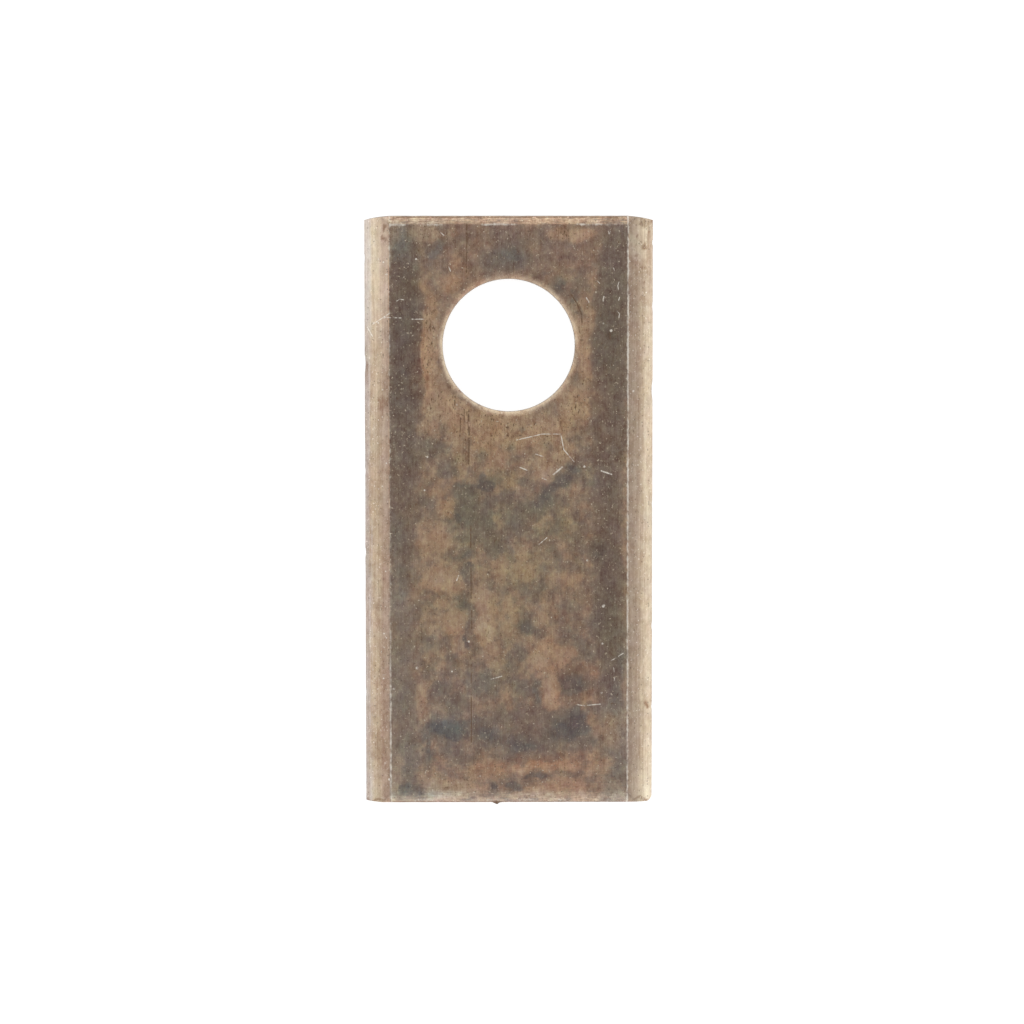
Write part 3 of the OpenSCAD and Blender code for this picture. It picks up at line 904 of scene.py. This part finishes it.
def bevel_colour(graph, bevel):
    """Colour of the bevels: ragged bands along the blade, with their stains"""
    band = graph.total(graph.math("ABSOLUTE", bevel), graph.blend(BAND_EDGES))
    right = graph.step(bevel, -0.01, 0.01)
    colour = graph.mix(right, graph.ramp(band, LEFT_BANDS), graph.ramp(band, RIGHT_BANDS))
    lined = graph.math("MULTIPLY_ADD", right, -0.5, 1)
    fine_lines = graph.times(graph.blend(BEVEL_LINES), lined)
    shade = graph.total(graph.attribute("tone"), graph.blend(BEVEL_SHADE), fine_lines)
    colour = graph.tint(colour, shade, SHADE_TINT)
    colour = graph.tint(colour, graph.blend(BEVEL_WARMTH), WARM_TINT)
    return graph.tint(colour, graph.blend(BEVEL_GREEN), GREEN_TINT)


def sheared_colour(graph, height):
    """Colour of the sheared faces, which are darker low down, where the steel tore"""
    ragged_height = graph.total(height, graph.blend(TORN_EDGE))
    colour = graph.mix(graph.step(ragged_height, 1.8, 0.9), SHEARED, TORN)
    colour = graph.tint(colour, graph.blend(CUT_SHADE), SHADE_TINT)
    return graph.tint(colour, graph.blend(CUT_WARMTH), WARM_TINT)


def steel():
    """Bare heat-treated steel with rolling grain, stains, worn bevels, specks and scratches"""
    material = bpy.data.materials.new("steel")
    material.use_nodes = True
    graph = Graph(material.node_tree)
    coordinates = graph.node("ShaderNodeTexCoord", {}).outputs["Object"]
    place = graph.vector("MULTIPLY", coordinates, (1 / MM, 1 / MM, 1 / MM))
    plan = graph.vector("MULTIPLY", place, (1, 1, 0))
    height = graph.node("ShaderNodeSeparateXYZ", {0: place}).outputs["Z"]
    upper = graph.step(height, 0.1, 0.5)
    graph.patterns = {name: graph.noise(place, *settings) for name, settings in PATTERNS.items()}
    plain = graph.attribute("plain")
    lively = graph.math("MULTIPLY_ADD", graph.attribute("calm"), -0.15, 1)
    lively = graph.math("MULTIPLY_ADD", plain, 0.2, lively)
    dark_flecks, pale_flecks = fleck_marks(graph, lively)

    # Flat, with its dark lines, which are marks and, at the far end and beside the hole, painted shade
    colour = flat_colour(graph, plain, lively)
    colour = graph.mix(dark_flecks, colour, DASH)
    colour = graph.mix(pale_flecks, colour, CREAM)
    broken = graph.step(graph.patterns["flecks"], 0.28, 0.48)
    dark_lines = graph.times(marks(graph, plan, DARK_LINES), upper, broken, 0.8)
    colour = graph.mix(dark_lines, colour, DASH)

    # Bevels
    bevel = graph.attribute("bevel")
    bands = bevel_colour(graph, bevel)
    bands = graph.mix(dark_flecks, bands, PIT)
    bands = graph.mix(graph.dots(place, *BEVEL_PITS), bands, PIT)
    bands = graph.mix(pale_flecks, bands, POLISHED_AND_HIGHLIGHT)
    colour = graph.mix(graph.step(graph.math("ABSOLUTE", bevel), 0, 0.09), colour, bands)

    # Sheared faces, which have no pits
    cut = graph.attribute("cut")
    colour = graph.mix(cut, colour, sheared_colour(graph, height))
    pits = graph.times(graph.dots(place, *PITS), graph.math("SUBTRACT", 1, cut))
    colour = graph.mix(pits, colour, PIT)

    # The hole's rim with its painted highlight, and bright marks, among them painted highlights on the
    # creases and ends
    rim = graph.times(graph.attribute("rim"), graph.step(graph.patterns["mottle"], 0.2, 0.6))
    colour = graph.mix(rim, colour, CREAM)
    bright = bright_marks(graph, plan, upper)
    colour = graph.mix(graph.times(bright, 0.9), colour, POLISHED_AND_HIGHLIGHT)

    # Finish
    rough = graph.total(graph.blend(ROUGHER), graph.times(cut, 0.15), ROUGHNESS)
    cut_relief = graph.times(graph.blend(CUT_RELIEF), cut)
    marked = graph.total(graph.times(bright, 0.3), graph.times(pits, -0.8))
    relief = graph.total(graph.blend(RELIEF), marked, cut_relief)
    inputs = {"Height": relief, "Strength": RELIEF_STRENGTH, "Distance": RELIEF_DEPTH * MM}
    results = {
        "Base Color": colour,
        "Roughness": rough,
        # Bright marks, painted highlights among them, are less metallic so that they stay pale from every
        # side
        "Metallic": graph.math("MULTIPLY_ADD", bright, -0.8, METALLIC),
        "Normal": graph.node("ShaderNodeBump", inputs).outputs[0],
    }
    for name, result in results.items():
        graph.tree.links.new(result, graph.tree.nodes["Principled BSDF"].inputs[name])
    return material


def bake_map(points, faces, sides):
    """Places in the bake's square for the corners of all faces"""
    x, y, z = np.moveaxis(points[faces], 2, 0)
    width_share = (x + HALF_WIDTH) / (2 * HALF_WIDTH)
    length_share = (y - FAR_END) / (NEAR_END - FAR_END)
    turn = np.arctan2(y, x) / (2 * math.pi) % 1
    split = np.ptp(turn, axis=1, keepdims=True) > 0.5
    turn = np.where(split & (turn < 0.5), turn + 1, turn)
    shares = {
        "face": (width_share, length_share),
        "end": (width_share, z / THICKNESS),
        "edge": (z / EDGE_LAND, length_share),
        "hole": (z / THICKNESS, turn),
    }
    places = np.zeros((*faces.shape, 2), np.float32)
    for side, (form, left, low, width, height) in BAKE_PATCHES.items():
        across, along = shares[form]
        here = sides == side
        places[here, :, 0] = (left + width * across[here]) / BAKE_SIDE
        places[here, :, 1] = (low + height * along[here]) / BAKE_SIDE
    return places


def blade_mesh():
    """The worn blade: its bevelled face, its underside, the outer wall and the wall of the hole"""
    points, plan_faces, ends, hole_loop = plan_grid()
    flat_x, flat_y = points.T
    bevel_height = THICKNESS - rolled_drop(HALF_WIDTH - abs(flat_x), *BEVEL)
    end_height = np.minimum(bevel_height, THICKNESS - NEAR_ROLL[1])
    top_x, top_y = worn_outline(flat_x, flat_y, end_height)
    top_z = upper_height(flat_x, top_x, top_y)
    low_x, low_y = worn_outline(flat_x, flat_y, np.zeros_like(flat_x))
    upper = np.column_stack([top_x, top_y, top_z])
    under = np.column_stack([low_x, low_y, np.zeros_like(low_x)])

    vertices = [upper, under]
    faces = [plan_faces, plan_faces[:, ::-1] + len(upper)]
    sides = ["upper"] * len(plan_faces) + ["under"] * len(plan_faces)
    total = 2 * len(upper)
    outer_loop = np.concatenate(list(ends.values()))
    outer_sides = [side for side, loop in ends.items() for _ in loop]
    hole_sides = ["hole"] * len(hole_loop)
    for loop, loop_sides, seed in ((outer_loop, outer_sides, 41), (hole_loop, hole_sides, 51)):
        loops = [loop]
        for row in wall_rows(upper[loop], under[loop], seed):
            loops.append(np.arange(total, total + len(loop)))
            vertices.append(row)
            total += len(loop)
        loops.append(loop + len(upper))
        for above, below in zip(loops, loops[1:]):
            faces.append(np.column_stack([above, below, np.roll(below, -1), np.roll(above, -1)]))
            sides += loop_sides
    vertices = np.concatenate(vertices)
    faces = np.concatenate(faces)
    sides = np.array(sides)

    mesh = bpy.data.meshes.new("worn_blade")
    mesh.from_pydata((vertices * MM).tolist(), [], faces.tolist())
    mesh.shade_smooth()
    mesh.set_sharp_from_angle(angle=math.radians(SHARP_ANGLE))

    # What the material reads from the mesh
    under_values = under_layers(low_x, low_y)
    for name, upper_values in upper_layers(flat_x, top_x, top_y).items():
        values = np.zeros(total, np.float32)
        values[: len(upper)] = upper_values
        values[len(upper) : 2 * len(upper)] = under_values.get(name, 0)
        mesh.attributes.new(name, "FLOAT", "POINT").data.foreach_set("value", values)
    cut = ~np.isin(sides, ["upper", "under"])
    mesh.attributes.new("cut", "FLOAT", "FACE").data.foreach_set("value", cut.astype(np.float32))
    bake_layer = mesh.uv_layers.new(name="OFBake")
    bake_layer.uv.foreach_set("vector", bake_map(vertices, faces, sides).ravel())
    return mesh


mesh = blade_mesh()
mesh.materials.append(steel())
blade = bpy.data.objects.new("worn_blade", mesh)
bpy.context.collection.objects.link(blade)
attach(blade, "root")
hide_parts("blade")

# Stage
floor_reach = 4
floor_drop = 0.05 * MM
corners = [(-1, -1), (1, -1), (1, 1), (-1, 1)]
floor_points = [(x * floor_reach, y * floor_reach, -floor_drop) for x, y in corners]
floor_mesh = bpy.data.meshes.new("floor")
floor_mesh.from_pydata(floor_points, [], [(0, 1, 2, 3)])
floor = bpy.data.objects.new("floor", floor_mesh)
bpy.context.collection.objects.link(floor)
paper = bpy.data.materials.new("paper")
paper.use_nodes = True
paper_look = {
    "Base Color": (0.9, 0.9, 0.9, 1),
    "Roughness": 0.9,
    "Emission Color": (1, 1, 1, 1),
    "Emission Strength": 0.7,
}
for name, value in paper_look.items():
    paper.node_tree.nodes["Principled BSDF"].inputs[name].default_value = value
floor_mesh.materials.append(paper)

# Soft light that is strong near the horizon and weak overhead
horizon_light = 1.25
overhead_light = 0.36
world = bpy.data.worlds.new("studio")
bpy.context.scene.world = world
world.use_nodes = True
sky = Graph(world.node_tree)
direction = sky.node("ShaderNodeTexCoord", {}).outputs["Generated"]
upward = sky.node("ShaderNodeSeparateXYZ", {0: direction}).outputs["Z"]
light_range = {"Value": upward, "To Min": horizon_light, "To Max": overhead_light}
light = sky.node("ShaderNodeMapRange", light_range).outputs["Result"]
background = world.node_tree.nodes["Background"]
background.inputs["Color"].default_value = (1, 1, 1, 1)
world.node_tree.links.new(light, background.inputs["Strength"])

# Camera, with its place in millimetres and its turns in degrees
camera_place = (-3.45, 0.55, 475)
camera_turns = (-3.423, -0.483, -0.039)
camera_data = bpy.data.cameras.new("camera")
camera_data.lens = 100
camera_data.sensor_width = 36
camera = bpy.data.objects.new("camera", camera_data)
camera.location = [distance * MM for distance in camera_place]
camera.rotation_euler = [math.radians(angle) for angle in camera_turns]
bpy.context.collection.objects.link(camera)
bpy.context.scene.camera = camera
bpy.context.scene.view_settings.view_transform = "Standard"
